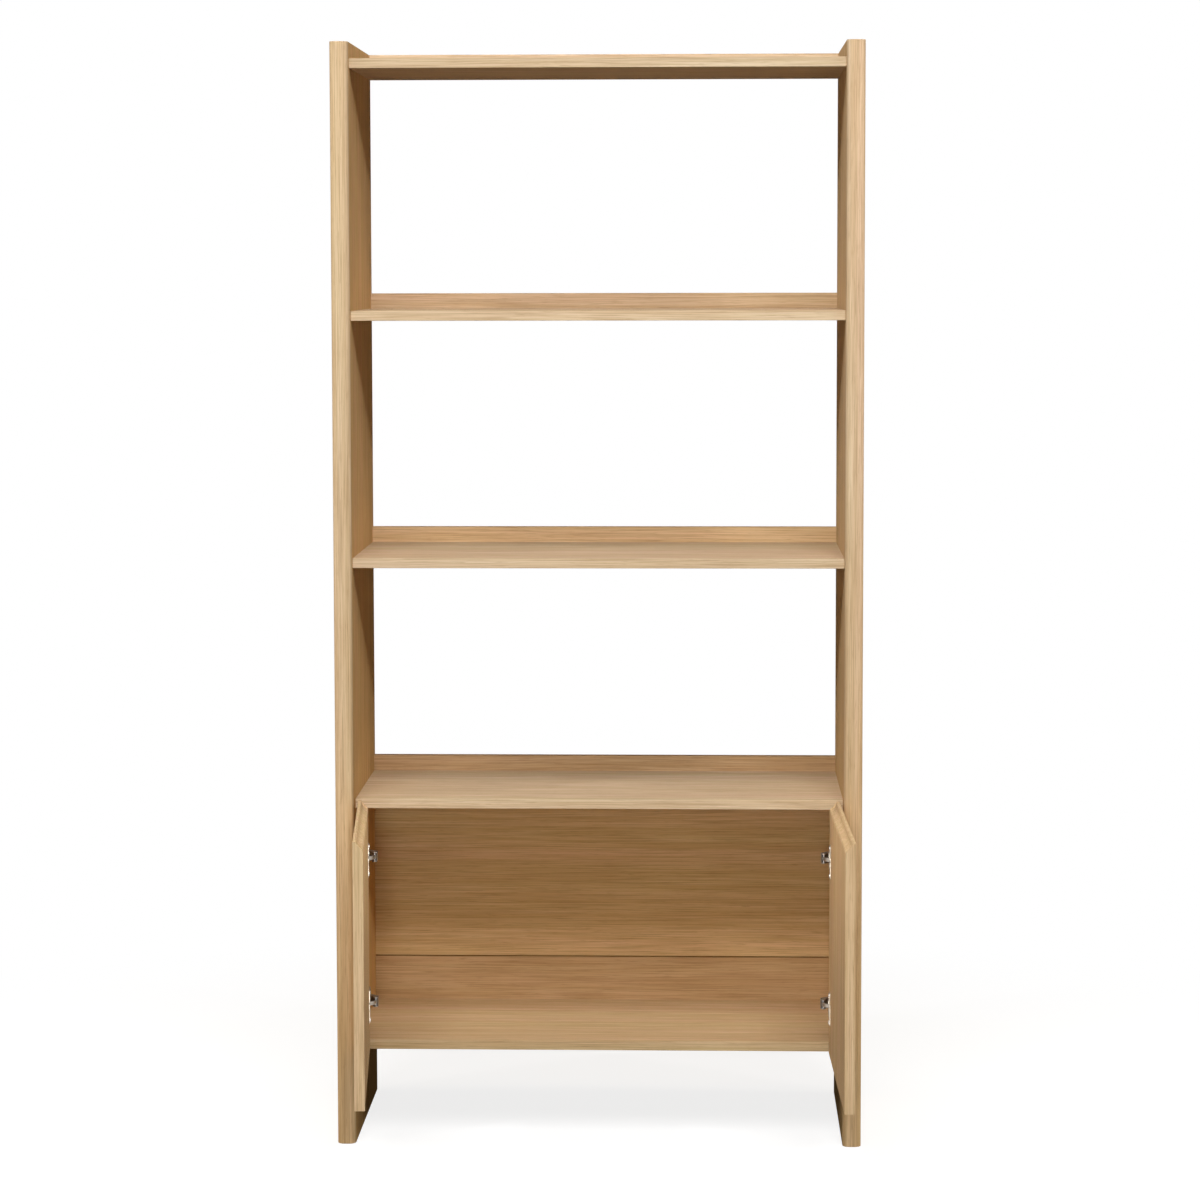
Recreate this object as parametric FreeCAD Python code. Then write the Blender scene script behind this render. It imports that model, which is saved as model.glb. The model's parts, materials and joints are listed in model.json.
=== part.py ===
import FreeCAD
import Part
import math
import os

# Whole bookcase, in millimetres
overall_width = 860.0
overall_height = 1800.0
overall_depth = 360.0

# Boards
side_thickness = 30.0
side_edge_radius = 11.0
board_thickness = 16.0
shelf_setback = 18.0

# Heights: the cabinet floor above the ground, then underside to underside
cabinet_floor_height = 150.0
cabinet_rise = 402.0
lower_bay_rise = 398.0
middle_bay_rise = 402.0

# Rails and panel along the back edge
upstand_height = 42.0
back_rail_height = 91.0
back_joint_gap = 2.0

# Doors
door_thickness = 16.0
door_side_gap = 2.0
door_middle_gap = 3.0
door_back_gap = 3.0
door_top_reveal = 1.5
door_rim_width = 4.0

# Door angles from closed, in degrees: as photographed, and the furthest
left_door_angle = 85.3
right_door_angle = 91.3
door_limit_angle = 95.0

# Eccentric board fixings: cam, bolt and dowel
cam_radius = 7.5
cam_cover = 3.5
cam_distance = 34.0
cam_slot_length = 8.0
cam_slot_width = 1.6
cam_slot_depth = 1.8
bolt_thread_radius = 2.5
bolt_thread_length = 11.0
bolt_stem_radius = 3.0
bolt_stem_length = 25.5
bolt_neck_radius = 1.75
bolt_neck_length = 2.5
bolt_head_radius = 3.2
bolt_head_length = 3.0
dowel_radius = 4.0
dowel_length = 30.0
dowel_side_depth = 12.0
dowel_rail_depth = 10.0
dowel_chamfer = 1.0
fixing_inset = 50.0
dowel_spacing = 32.0
upstand_cam_height = 12.0
upstand_dowel_height = 30.0
back_rail_fixing_inset = 22.0
back_panel_fixing_inset = 40.0
fixing_clearance = 0.1
rail_dowel_shares = (-0.32, 0.0, 0.32)

# Hinges: heights from the cabinet board undersides, and the turning axis
hinge_inset = 80.0
pivot_from_side = 10.5
pivot_from_door_front = 4.5

# Hinge cup, sunk in the door
cup_radius = 17.5
cup_depth = 12.5
cup_wall = 1.0
cup_edge_distance = 3.0
flange_thickness = 1.2
flange_radius = 19.0
flange_ear_radius = 6.0
cup_screw_spacing = 45.0
cup_screw_offset = 9.5
lug_half_length = 2.4
lug_rise = 2.2
lug_thickness = 1.5

# Hinge link, in a slot at its cup end
arm_pin_distance = 24.0
arm_pin_angle = 30.0
cup_pin_distance = 6.0
cup_pin_angle = 76.0
arm_pin_radius = 1.5
arm_pin_overhang = 0.4
cup_pin_radius = 1.0
link_thickness = 6.0
link_half_width = 1.5
link_bulge = 5.0
link_eye_radius = 2.8
slot_side_clearance = 0.7
slot_end_clearance = 0.25
slot_wall = 0.9
lug_clearance = 0.7
pin_running_clearance = 0.04
pin_fixed_clearance = 0.02

# Hinge arm and its mounting plate on the side panel
arm_width = 16.0
arm_sheet = 1.2
arm_nose_radius = 4.5
arm_back_height = 15.0
arm_rim_height = 4.2
arm_length = 78.0
crank_start = 9.0
crank_end = 28.0
crank_rim_start = 4.0
crank_rim_end = 25.0
plate_thickness = 2.0
plate_width = 18.0
plate_start = 28.0
plate_end = 74.0
wing_line = 37.0
wing_length = 14.0
wing_span = 44.0
plate_screw_spacing = 32.0
tower_width = 13.0
tower_start = 32.0
tower_end = 70.0
arm_screw_places = (42.0, 62.0)

# Screws
small_head_radius = 3.6
small_head_height = 1.6
small_shank_radius = 1.75
small_shank_length = 11.0
plate_shank_length = 13.0
arm_shank_radius = 2.0
arm_shank_length = 8.0
recess_length_share = 1.2
recess_width_share = 0.3
recess_depth_share = 0.55

# Every cut runs this far past the face that it starts from
overrun = 1.0

# Places that follow from the sizes above
inner_half_width = overall_width / 2 - side_thickness
back_face = overall_depth - board_thickness
door_face = shelf_setback + door_thickness
cabinet_front = door_face + door_back_gap
cabinet_top_height = cabinet_floor_height + cabinet_rise
middle_shelf_height = cabinet_top_height + lower_bay_rise
upper_shelf_height = middle_shelf_height + middle_bay_rise
top_shelf_height = overall_height - upstand_height
back_rail_top = cabinet_floor_height + back_rail_height
door_width = inner_half_width - door_side_gap - door_middle_gap / 2
door_top = cabinet_top_height + board_thickness - door_top_reveal
lower_hinge_height = cabinet_floor_height + hinge_inset
upper_hinge_height = cabinet_top_height - hinge_inset
cam_height = board_thickness - cam_cover
cup_centre = door_side_gap + cup_edge_distance + cup_radius
cup_screw_line = cup_centre + cup_screw_offset
mouth_radius = cup_radius - cup_wall
link_layer = link_thickness / 2 + lug_clearance

# Directions, and the two hands of the cabinet
RIGHTWARD = FreeCAD.Vector(1, 0, 0)
BACKWARD = FreeCAD.Vector(0, 1, 0)
UPWARD = FreeCAD.Vector(0, 0, 1)
ORIGIN = FreeCAD.Vector(0, 0, 0)
HANDS = ("left", "right")

# The side to which a board's cams open, as a turn about its length
CAMS_BELOW, CAMS_BEHIND, CAMS_ABOVE = 0, 90, 180
OPEN_ANGLES = {"left": left_door_angle, "right": right_door_angle}


# Small helpers
def vector(x, y, z=0):
    return FreeCAD.Vector(x, y, z)


def block(low, high):
    size = [top - bottom for bottom, top in zip(low, high)]
    return Part.makeBox(*size, vector(*low))


def rod(radius, start, direction, length):
    return Part.makeCylinder(radius, length, start, direction)


def prism(points, bottom, top):
    corners = [vector(x, y, bottom) for x, y in points]
    face = Part.Face(Part.makePolygon(corners + corners[:1]))
    return face.extrude(vector(0, 0, top - bottom))


def aimed(shape, place, direction):
    copy = shape.copy()
    copy.Placement = FreeCAD.Placement(place, FreeCAD.Rotation(UPWARD, direction))
    return copy


def turned(shape, centre, degrees, axis=UPWARD):
    copy = shape.copy()
    copy.rotate(centre, axis, degrees)
    return copy


def moved(shape, step):
    copy = shape.copy()
    copy.translate(step)
    return copy


def polar(centre, reach, degrees):
    angle = math.radians(degrees)
    return centre + vector(reach * math.cos(angle), reach * math.sin(angle))


# Fittings are drawn beside the left panel: x runs inward from its inner face
def handed(shape, hand):
    placed = moved(shape, vector(-inner_half_width, 0, 0))
    return placed if hand == "left" else placed.mirror(ORIGIN, RIGHTWARD)


# Side panel with its two front edges rounded
def side_panel(hand, cuts):
    outer = inner_half_width + side_thickness
    panel = block((-outer, 0, 0), (-inner_half_width, overall_depth, overall_height))
    front_edges = [edge for edge in panel.Edges
                   if edge.BoundBox.ZLength > side_thickness and edge.BoundBox.YMax < side_edge_radius]
    panel = panel.makeFillet(side_edge_radius, front_edges)
    if hand == "right":
        panel = panel.mirror(ORIGIN, RIGHTWARD)
    return panel.cut(cuts)


# A board that lies between the side panels
def board(front, back, bottom, top):
    return block((-inner_half_width, front, bottom), (inner_half_width, back, top))


# Cam, bolt and dowel, drawn at a board end with the board on the right
def cam_lock():
    place = vector(cam_distance, 0, -board_thickness / 2)
    cam = rod(cam_radius, place, UPWARD, cam_height)
    pocket = rod(bolt_head_radius + fixing_clearance, ORIGIN, RIGHTWARD,
                 bolt_stem_length + bolt_neck_length + bolt_head_length + fixing_clearance)
    cuts = [pocket]
    for length, width in ((cam_slot_length, cam_slot_width), (cam_slot_width, cam_slot_length)):
        cuts.append(block((cam_distance - length / 2, -width / 2, place.z - overrun),
                          (cam_distance + length / 2, width / 2, place.z + cam_slot_depth)))
    return cam.cut(cuts)


def cam_bolt():
    neck_start = bolt_stem_length
    head_start = neck_start + bolt_neck_length
    thread = rod(bolt_thread_radius, vector(-bolt_thread_length, 0), RIGHTWARD, bolt_thread_length)
    stem = rod(bolt_stem_radius, ORIGIN, RIGHTWARD, bolt_stem_length)
    neck = rod(bolt_neck_radius, vector(neck_start, 0), RIGHTWARD, bolt_neck_length)
    head = rod(bolt_head_radius, vector(head_start, 0), RIGHTWARD, bolt_head_length)
    return thread.fuse([stem, neck, head]).removeSplitter()


def dowel(depth):
    pin = rod(dowel_radius, vector(-depth, 0), RIGHTWARD, dowel_length)
    return pin.makeChamfer(dowel_chamfer, [edge for edge in pin.Edges if edge.Closed])


def dowel_bore(depth):
    start = vector(-depth - fixing_clearance, 0)
    return rod(dowel_radius + fixing_clearance, start, RIGHTWARD, dowel_length + 2 * fixing_clearance)


def fixing_bores():
    stem = rod(bolt_stem_radius + fixing_clearance, ORIGIN, RIGHTWARD, cam_distance)
    thread = rod(bolt_thread_radius + fixing_clearance,
                 vector(-bolt_thread_length - fixing_clearance, 0), RIGHTWARD,
                 bolt_thread_length + fixing_clearance)
    cam_start = vector(cam_distance, 0, -board_thickness / 2 - overrun)
    cam = rod(cam_radius + fixing_clearance, cam_start, UPWARD, cam_height + overrun + fixing_clearance)
    return [thread, stem, cam]


# Where the two ends of every board are fixed: depth and height of each axis
def lying_board_fixings(front, bottom):
    middle = bottom + board_thickness / 2
    cams = [(front + fixing_inset, middle), (back_face - fixing_inset, middle)]
    dowels = [(front + fixing_inset + dowel_spacing, middle),
              (back_face - fixing_inset - dowel_spacing, middle)]
    return cams, dowels


def standing_board_fixings(cam_heights, dowel_heights):
    middle = back_face + board_thickness / 2
    return [(middle, height) for height in cam_heights], [(middle, height) for height in dowel_heights]


class Fixings:
    """Gathers the loose fixings and the bores that they need."""

    def __init__(self):
        self.cams, self.bolts, self.dowels = [], [], []
        self.side_cuts = {hand: [] for hand in HANDS}

    def join_ends(self, piece, fixings, cam_turn):
        cams, dowels = fixings
        piece_cuts = []
        for hand in HANDS:
            def placed(shape, spot):
                return handed(moved(turned(shape, ORIGIN, cam_turn, RIGHTWARD), vector(0, *spot)), hand)

            for spot in cams:
                self.cams.append(placed(cam_lock(), spot))
                self.bolts.append(placed(cam_bolt(), spot))
                piece_cuts += [placed(bore, spot) for bore in fixing_bores()]
                self.side_cuts[hand] += [placed(bore, spot) for bore in fixing_bores()[:1]]
            for spot in dowels:
                self.dowels.append(placed(dowel(dowel_side_depth), spot))
                bore = placed(dowel_bore(dowel_side_depth), spot)
                piece_cuts.append(bore)
                self.side_cuts[hand].append(bore)
        return piece.cut(piece_cuts)

    def join_rail(self, rail, shelf, bottom):
        cuts = []
        for share in rail_dowel_shares:
            place = vector(2 * inner_half_width * share, back_face, bottom + board_thickness / 2)
            self.dowels.append(moved(turned(dowel(dowel_rail_depth), ORIGIN, -90), place))
            cuts.append(moved(turned(dowel_bore(dowel_rail_depth), ORIGIN, -90), place))
        return rail.cut(cuts), shelf.cut(cuts)


# A lying board with the rail behind its back edge
def shelf_and_rail(fixings, front, bottom, cam_turn, rail_height, cam_height_on_rail, dowel_height_on_rail):
    shelf = board(front, back_face, bottom, bottom + board_thickness)
    shelf = fixings.join_ends(shelf, lying_board_fixings(front, bottom), cam_turn)
    rail = board(back_face, overall_depth, bottom, bottom + rail_height)
    rail_fixings = standing_board_fixings([bottom + cam_height_on_rail], [bottom + dowel_height_on_rail])
    rail = fixings.join_ends(rail, rail_fixings, CAMS_BEHIND)
    rail, shelf = fixings.join_rail(rail, shelf, bottom)
    return shelf, rail


def back_panel(fixings):
    bottom = back_rail_top + back_joint_gap
    cams = [bottom + back_panel_fixing_inset, cabinet_top_height - back_panel_fixing_inset]
    dowels = [cams[0] + dowel_spacing, cams[1] - dowel_spacing]
    panel = board(back_face, overall_depth, bottom, cabinet_top_height)
    return fixings.join_ends(panel, standing_board_fixings(cams, dowels), CAMS_BEHIND)


def carcass():
    fixings = Fixings()
    pieces = {}
    upstand = (upstand_height, upstand_cam_height, upstand_dowel_height)
    rail = (back_rail_height, back_rail_fixing_inset, back_rail_height - back_rail_fixing_inset)
    # The top shelf is above eye level, so its cams are hidden on top
    rows = (("top_shelf", "top_upstand", shelf_setback, top_shelf_height, CAMS_ABOVE, upstand),
            ("upper_shelf", "upper_upstand", shelf_setback, upper_shelf_height, CAMS_BELOW, upstand),
            ("middle_shelf", "middle_upstand", shelf_setback, middle_shelf_height, CAMS_BELOW, upstand),
            ("cabinet_top", "cabinet_upstand", cabinet_front, cabinet_top_height, CAMS_BELOW, upstand),
            ("cabinet_floor", "cabinet_back_rail", cabinet_front, cabinet_floor_height, CAMS_BELOW, rail))
    for shelf_name, rail_name, front, bottom, cam_turn, rail_sizes in rows:
        pieces[shelf_name], pieces[rail_name] = shelf_and_rail(fixings, front, bottom, cam_turn, *rail_sizes)
    pieces["cabinet_back_panel"] = back_panel(fixings)
    return pieces, fixings


# The hinge in plan: y is zero on the closed door's inner face
pivot = vector(pivot_from_side, pivot_from_door_front - door_thickness)
arm_pin_place = polar(pivot, arm_pin_distance, arm_pin_angle)
cup_pin_place = polar(pivot, cup_pin_distance, cup_pin_angle)


def link_line(door_turn):
    """Distance and direction from the arm's pin to the cup's pin at a door angle."""
    line = polar(pivot, cup_pin_distance, cup_pin_angle - door_turn) - arm_pin_place
    return line.Length, math.degrees(math.atan2(line.y, line.x)) % 360


# The link turns by this share of the door's own turn, the other way
link_turn_share = (link_line(door_limit_angle)[1] - link_line(0)[1]) / door_limit_angle


def cross_screw(head_radius, head_height, shank_radius, shank_length):
    head = rod(head_radius, ORIGIN, UPWARD, head_height)
    shank = rod(shank_radius, vector(0, 0, -shank_length), UPWARD, shank_length)
    recess_floor = head_height * (1 - recess_depth_share)
    long, wide = head_radius * recess_length_share, head_radius * recess_width_share
    recess = [block((-x / 2, -y / 2, recess_floor), (x / 2, y / 2, head_height + overrun))
              for x, y in ((long, wide), (wide, long))]
    return head.fuse(shank).removeSplitter().cut(recess)


def hinge_cup():
    body = rod(cup_radius, vector(cup_centre, 0), -BACKWARD, cup_depth)
    flange = rod(flange_radius, vector(cup_centre, 0), BACKWARD, flange_thickness)
    half = cup_screw_spacing / 2
    bar = block((cup_screw_line - flange_ear_radius, 0, -half),
                (cup_screw_line + flange_ear_radius, flange_thickness, half))
    ears = [rod(flange_ear_radius, vector(cup_screw_line, 0, z), BACKWARD, flange_thickness)
            for z in (-half, half)]
    hollow = rod(mouth_radius, vector(cup_centre, cup_wall - cup_depth), BACKWARD,
                 cup_depth - cup_wall + flange_thickness + overrun)
    cup = body.fuse([flange, bar] + ears).cut(hollow)
    lugs = []
    for bottom in (link_layer, -link_layer - lug_thickness):
        lugs.append(block((cup_pin_place.x - lug_half_length, cup_wall / 2 - cup_depth, bottom),
                          (cup_pin_place.x + lug_half_length, cup_pin_place.y + lug_rise,
                           bottom + lug_thickness)))
    cup = cup.fuse(lugs).removeSplitter()
    cuts = [rod(small_shank_radius + fixing_clearance, vector(cup_screw_line, -overrun, z), BACKWARD,
                flange_thickness + 2 * overrun) for z in (-half, half)]
    span = link_layer + lug_thickness
    cuts.append(rod(cup_pin_radius + pin_fixed_clearance, cup_pin_place - vector(0, 0, span),
                    UPWARD, 2 * span))
    return cup.cut(cuts)


def cup_pin():
    span = link_layer + lug_thickness
    return rod(cup_pin_radius, cup_pin_place - vector(0, 0, span), UPWARD, 2 * span)


def cup_screws():
    screw = cross_screw(small_head_radius, small_head_height, small_shank_radius, small_shank_length)
    half = cup_screw_spacing / 2
    return [aimed(screw, vector(cup_screw_line, flange_thickness, z), BACKWARD) for z in (-half, half)]


# The link is drawn closed: an arched strap from the arm's pin to its slot
def hinge_link():
    near = arm_pin_distance - cup_pin_distance - slot_end_clearance
    far = max(link_line(0)[0], link_line(door_limit_angle)[0]) + slot_end_clearance
    slot_radius = cup_pin_radius + slot_side_clearance
    low = -link_thickness / 2
    middle = (near + far) / 2
    arcs = []
    for offset in (link_half_width, -link_half_width):
        arcs.append(Part.Arc(vector(0, offset, low), vector(middle / 2, link_bulge + offset, low),
                             vector(middle, offset, low)).toShape())
    ends = [Part.makeLine(vector(x, -link_half_width, low), vector(x, link_half_width, low))
            for x in (0, middle)]
    strap = Part.Face(Part.Wire([arcs[0], ends[1], arcs[1], ends[0]])).extrude(UPWARD * link_thickness)
    outside = slot_radius + slot_wall
    eye = rod(link_eye_radius, vector(0, 0, low), UPWARD, link_thickness)
    link = strap.fuse([eye, slot_block(near, far, outside, low, link_thickness)]).removeSplitter()
    cut_low, cut_height = low - overrun, link_thickness + 2 * overrun
    pin_hole = rod(arm_pin_radius + pin_running_clearance, vector(0, 0, cut_low), UPWARD, cut_height)
    link = link.cut([pin_hole, slot_block(near, far, slot_radius, cut_low, cut_height)])
    return moved(turned(link, ORIGIN, link_line(0)[1]), arm_pin_place)


# A straight slot whose round ends sit about the pin's nearest and furthest places
def slot_block(near, far, radius, low, height):
    body = block((near, -radius, low), (far, radius, low + height))
    ends = [rod(radius, vector(x, 0, low), UPWARD, height) for x in (near, far)]
    return body.fuse(ends).removeSplitter()


def hinge_arm():
    nose = arm_pin_place.x + arm_nose_radius
    heel = arm_pin_place.x - arm_nose_radius
    half = arm_width / 2
    outline = [(nose, arm_pin_place.y), (nose, crank_start), (arm_back_height, crank_end),
               (arm_back_height, arm_length), (arm_rim_height, arm_length),
               (arm_rim_height, crank_rim_end), (heel, crank_rim_start), (heel, arm_pin_place.y)]
    body = prism(outline, -half, half)
    tip = rod(arm_nose_radius, arm_pin_place - vector(0, 0, half), UPWARD, arm_width)
    front = arm_pin_place.y - arm_nose_radius - overrun
    back = arm_length + overrun
    hollow = [(nose - arm_sheet, front), (nose - arm_sheet, crank_start),
              (arm_back_height - arm_sheet, crank_end), (arm_back_height - arm_sheet, back),
              (0, back), (0, front)]
    cuts = [prism(hollow, arm_sheet - half, half - arm_sheet)]
    cuts.append(rod(arm_pin_radius + pin_fixed_clearance,
                    arm_pin_place - vector(0, 0, half + overrun), UPWARD, arm_width + 2 * overrun))
    for place in arm_screw_places:
        cuts.append(rod(arm_shank_radius + fixing_clearance, vector(arm_rim_height, place), RIGHTWARD,
                        arm_back_height))
    return body.fuse(tip).removeSplitter().cut(cuts)


def arm_pin():
    half = arm_width / 2 + arm_pin_overhang
    return rod(arm_pin_radius, arm_pin_place - vector(0, 0, half), UPWARD, 2 * half)


def mounting_plate():
    base = block((0, plate_start, -plate_width / 2), (plate_thickness, plate_end, plate_width / 2))
    wings = block((0, wing_line - wing_length / 2, -wing_span / 2),
                  (plate_thickness, wing_line + wing_length / 2, wing_span / 2))
    tower = block((plate_thickness, tower_start, -tower_width / 2),
                  (arm_back_height - arm_sheet, tower_end, tower_width / 2))
    cuts = []
    for z in (-plate_screw_spacing / 2, plate_screw_spacing / 2):
        cuts.append(rod(small_shank_radius + fixing_clearance, vector(-overrun, wing_line, z), RIGHTWARD,
                        plate_thickness + 2 * overrun))
    for place in arm_screw_places:
        depth = arm_shank_length - arm_sheet + fixing_clearance
        start = vector(arm_back_height - arm_sheet - depth, place)
        cuts.append(rod(arm_shank_radius + fixing_clearance, start, RIGHTWARD, depth + overrun))
    return base.fuse([wings, tower]).removeSplitter().cut(cuts)


def plate_screws():
    screw = cross_screw(small_head_radius, small_head_height, small_shank_radius, plate_shank_length)
    half = plate_screw_spacing / 2
    return [aimed(screw, vector(plate_thickness, wing_line, z), RIGHTWARD) for z in (-half, half)]


def plate_screw_bores():
    depth = plate_shank_length - plate_thickness + fixing_clearance
    half = plate_screw_spacing / 2
    return [rod(small_shank_radius + fixing_clearance, vector(-depth, wing_line, z), RIGHTWARD,
                depth + overrun) for z in (-half, half)]


def arm_screws():
    screw = cross_screw(small_head_radius, small_head_height, arm_shank_radius, arm_shank_length)
    return [aimed(screw, vector(arm_back_height, place), RIGHTWARD) for place in arm_screw_places]


# The closed door: bevelled inside along the top as a finger pull, bored for its cups
def door_panel():
    panel = block((door_side_gap, -door_thickness, cabinet_floor_height),
                  (door_side_gap + door_width, 0, door_top))
    bevel = [vector(door_side_gap - overrun, door_rim_width - door_thickness, door_top),
             vector(door_side_gap - overrun, 0, door_top),
             vector(door_side_gap - overrun, 0, cabinet_top_height)]
    wedge = Part.Face(Part.makePolygon(bevel + bevel[:1])).extrude(RIGHTWARD * (door_width + 2 * overrun))
    cuts = [wedge]
    half = cup_screw_spacing / 2
    for height in (lower_hinge_height, upper_hinge_height):
        cuts.append(rod(cup_radius + fixing_clearance, vector(cup_centre, overrun, height), -BACKWARD,
                        cup_depth + fixing_clearance + overrun))
        for z in (-half, half):
            cuts.append(rod(small_shank_radius + fixing_clearance,
                            vector(cup_screw_line, overrun, height + z), -BACKWARD,
                            small_shank_length - flange_thickness + fixing_clearance + overrun))
    return panel.cut(cuts)


# One door with everything that turns with it, and its two hinges, at the photographed angle
def hang_door(hand, side_cuts):
    angle = OPEN_ANGLES[hand]
    step = vector(0, door_face, 0)

    def on_cabinet(shape, height=0):
        return handed(moved(shape, step + UPWARD * height), hand)

    def on_door(shape, height=0):
        return on_cabinet(turned(shape, pivot, -angle), height)

    def on_link(shape, height=0):
        return on_cabinet(turned(shape, arm_pin_place, link_turn_share * angle), height)

    pieces = {hand + "_door": on_door(door_panel())}
    groups = {"cup_pins": [], "cup_screws": [], "arm_pins": [], "plate_screws": [], "arm_screws": []}
    for level, height in (("lower", lower_hinge_height), ("upper", upper_hinge_height)):
        name = hand + "_" + level + "_hinge_"
        pieces[name + "cup"] = on_door(hinge_cup(), height)
        pieces[name + "link"] = on_link(hinge_link(), height)
        pieces[name + "arm"] = on_cabinet(hinge_arm(), height)
        pieces[name + "plate"] = on_cabinet(mounting_plate(), height)
        groups["cup_pins"].append(on_door(cup_pin(), height))
        groups["cup_screws"] += [on_door(screw, height) for screw in cup_screws()]
        groups["arm_pins"].append(on_cabinet(arm_pin(), height))
        groups["plate_screws"] += [on_cabinet(screw, height) for screw in plate_screws()]
        groups["arm_screws"] += [on_cabinet(screw, height) for screw in arm_screws()]
        side_cuts += [on_cabinet(bore, height) for bore in plate_screw_bores()]
    pieces[hand + "_cup_pins"] = Part.makeCompound(groups["cup_pins"])
    pieces[hand + "_cup_screws"] = Part.makeCompound(groups["cup_screws"])
    return pieces, groups


def build():
    pieces, fixings = carcass()
    shared = {"arm_pins": [], "plate_screws": [], "arm_screws": []}
    for hand in HANDS:
        door_pieces, groups = hang_door(hand, fixings.side_cuts[hand])
        pieces.update(door_pieces)
        for name in shared:
            shared[name] += groups[name]
        pieces[hand + "_side"] = side_panel(hand, fixings.side_cuts[hand])
    pieces["hinge_arm_pins"] = Part.makeCompound(shared["arm_pins"])
    pieces["hinge_plate_screws"] = Part.makeCompound(shared["plate_screws"])
    pieces["hinge_arm_screws"] = Part.makeCompound(shared["arm_screws"])
    pieces["cam_locks"] = Part.makeCompound(fixings.cams)
    pieces["cam_bolts"] = Part.makeCompound(fixings.bolts)
    pieces["dowels"] = Part.makeCompound(fixings.dowels)
    return pieces


# The origin is on the floor, midway between the wall side and the open doors' edges
def origin_step(pieces):
    box = Part.makeCompound(list(pieces.values())).BoundBox
    return vector(0, -(box.YMin + box.YMax) / 2, 0)


pieces = build()
step_to_origin = origin_step(pieces)
os.makedirs("parts", exist_ok=True)
for name, shape in pieces.items():
    moved(shape, step_to_origin).exportStep("parts/" + name + ".step")
print(len(pieces), "pieces, moved back by", round(-step_to_origin.y, 4))
print("link turns by", round(link_turn_share, 5), "of the door's turn")
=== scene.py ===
# %% [markdown]
# # A tall oak bookcase with a two-door cabinet
# This lesson dresses a bookcase for a picture. The construction is already done: a frame
# file holds every board, hinge and fixing at its real size, in metres. Here each visible
# board and fitting is modelled again with the small things that the eye looks for, such as
# softened edges and a scooped finger pull, and gets a finish made of nodes.

# %% Load the construction
import json
from math import cos, pi, radians, sin

import bpy
from mathutils import Matrix, Vector


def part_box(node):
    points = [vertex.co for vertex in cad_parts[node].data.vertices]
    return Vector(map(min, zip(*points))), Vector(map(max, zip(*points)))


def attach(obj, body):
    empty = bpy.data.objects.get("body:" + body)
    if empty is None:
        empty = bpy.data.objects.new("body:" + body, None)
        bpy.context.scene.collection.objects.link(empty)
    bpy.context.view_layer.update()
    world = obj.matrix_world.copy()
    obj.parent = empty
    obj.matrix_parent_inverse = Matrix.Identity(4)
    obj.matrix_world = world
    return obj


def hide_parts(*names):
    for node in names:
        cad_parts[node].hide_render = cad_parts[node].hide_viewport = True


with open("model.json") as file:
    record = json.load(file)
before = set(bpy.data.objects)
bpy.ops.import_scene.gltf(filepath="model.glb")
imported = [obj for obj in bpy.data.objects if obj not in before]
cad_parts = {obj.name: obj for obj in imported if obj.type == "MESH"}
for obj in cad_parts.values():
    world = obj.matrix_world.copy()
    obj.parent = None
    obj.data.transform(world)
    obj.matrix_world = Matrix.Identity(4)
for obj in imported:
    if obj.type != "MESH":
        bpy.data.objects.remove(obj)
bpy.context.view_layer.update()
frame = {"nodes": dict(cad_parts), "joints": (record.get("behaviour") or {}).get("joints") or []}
mm = 0.001

# %% [markdown]
# ## The camera
# The real picture was taken from about five metres away, a little right of the middle and
# at the height of the upper shelf, with a long lens. That far away the two sides look almost
# parallel. Most of the downward look comes from tilting the camera. A small vertical shift of
# the lens takes the rest, which keeps the sides upright, as a product photographer does.

# %% Set up the camera
lens_pixels, picture_pixels = 3260.5, 1200
camera_place = Vector((0.16968, -5.25295, 1.43362))
camera_turn, camera_tilt, camera_roll = 0.0315, -0.0790, 0.0017

bpy.ops.object.select_all(action="DESELECT")
bpy.ops.object.camera_add()
camera = bpy.context.active_object
camera.name = "picture_camera"
camera.data.sensor_width = 36.0
camera.data.lens = lens_pixels / picture_pixels * camera.data.sensor_width
camera.data.shift_y = -0.06
camera.data.dof.use_dof = False
camera.matrix_world = (
    Matrix.Translation(camera_place)
    @ Matrix.Rotation(camera_turn, 4, "Z")
    @ Matrix.Rotation(pi / 2 + camera_tilt, 4, "X")
    @ Matrix.Rotation(-camera_roll, 4, "Z")
)
bpy.context.scene.camera = camera
bpy.context.scene.view_settings.view_transform = "Standard"
print("lens in mm:", round(camera.data.lens, 2))

# %% [markdown]
# ## Nodes with fewer words
# A finish is a small network of nodes. Writing each node and each wire in full would hide the
# idea behind it, so one helper adds a node with its settings and wires its inputs at once: a
# value that is a node socket is wired, and any other value is typed into the input.

# %% A helper that adds and wires nodes
def put_node(tree, kind, inputs=(), **settings):
    node = tree.nodes.new("ShaderNode" + kind)
    for name, value in settings.items():
        setattr(node, name, value)
    for name, value in dict(inputs).items():
        if isinstance(value, bpy.types.NodeSocket):
            tree.links.new(value, node.inputs[name])
        else:
            node.inputs[name].default_value = value
    return node


def new_finish(name):
    finish = bpy.data.materials.new(name)
    finish.use_nodes = True
    finish.node_tree.nodes.clear()
    return finish, finish.node_tree


# %% [markdown]
# ## A white studio
# The picture has a pure white background. More light would bleach the wood, so the white is
# given to what the camera sees alone: where a ray comes from the camera, from a gloss or
# through glass, the world is plain white, and every other ray finds a dimmer, warmer studio.
# The floor does the same. Near the bookcase it still takes its shadow, and further out it
# fades to the same white as the world.

# %% Which rays see the white
def sees_backdrop(tree):
    path = put_node(tree, "LightPath")
    either = put_node(tree, "Math", {0: path.outputs["Is Camera Ray"], 1: path.outputs["Is Glossy Ray"]},
                      operation="MAXIMUM")
    return put_node(tree, "Math", {0: either.outputs[0], 1: path.outputs["Is Transmission Ray"]},
                    operation="MAXIMUM").outputs[0]


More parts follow.
